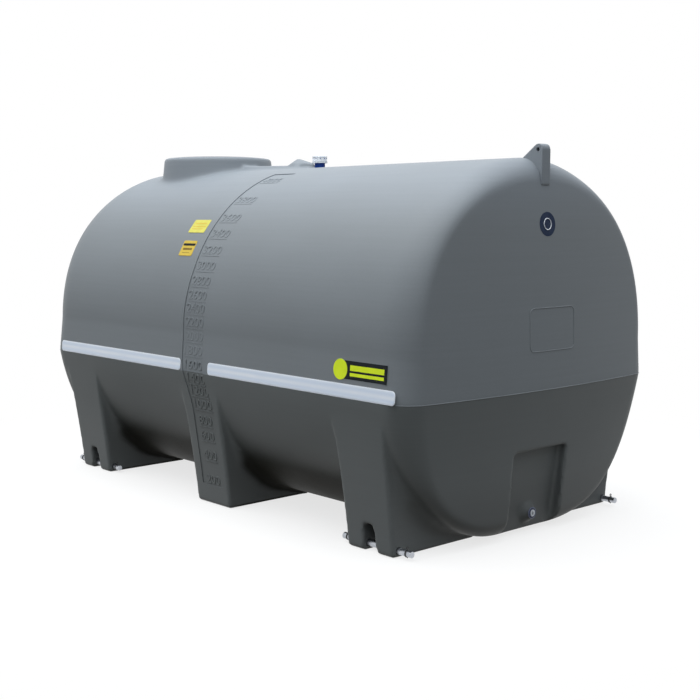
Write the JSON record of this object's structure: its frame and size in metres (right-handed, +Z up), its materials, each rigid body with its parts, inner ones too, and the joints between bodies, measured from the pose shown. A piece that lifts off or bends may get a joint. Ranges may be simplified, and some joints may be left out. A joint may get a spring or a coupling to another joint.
{
  "type": "diesel storage tank",
  "caption": "Long grey moulded polyethylene storage tank for diesel, lying flat on moulded feet, with a manhole, a breather, lifting lugs, tie-down pins and reflective side strips.",
  "frame": {"origin": "centre of the tank's footprint, on the ground under the feet", "axes": "+X along the tank towards the end with the drain and its recess, -Y out of the long side with the volume scale, +Z up"},
  "size_m": [2.6, 1.453, 1.525],
  "materials": {
    "body": "matte moulded polyethylene",
    "lid": "matte",
    "steel": "zinc plated",
    "reflective": "reflective tape under clear film",
    "breather_blue": "satin",
    "breather_white": "satin",
    "bush": "satin",
    "plug": "satin"
  },
  "bodies": {
    "root": {"barrel": "body", "drain_end": "body", "plain_end": "body", "foot_front_near": "body", "foot_front_far": "body", "foot_middle_near": "body", "foot_middle_far": "body", "foot_rear_near": "body", "foot_rear_far": "body", "tie_pin_front_near": "steel", "tie_pin_front_far": "steel", "tie_pin_rear_near": "steel", "tie_pin_rear_far": "steel", "manhole_neck": "body", "manhole_lid": "lid", "top_pad": "body", "fitting_boss": "body", "breather_neck": "breather_blue", "breather_cap": "breather_white", "lifting_lug_front": "body", "lifting_lug_rear": "body", "drain_bush": "bush", "drain_plug": "plug", "strip_front_near": "reflective", "strip_rear_near": "reflective", "strip_front_far": "reflective", "strip_rear_far": "reflective"}
  },
  "joints": []
}
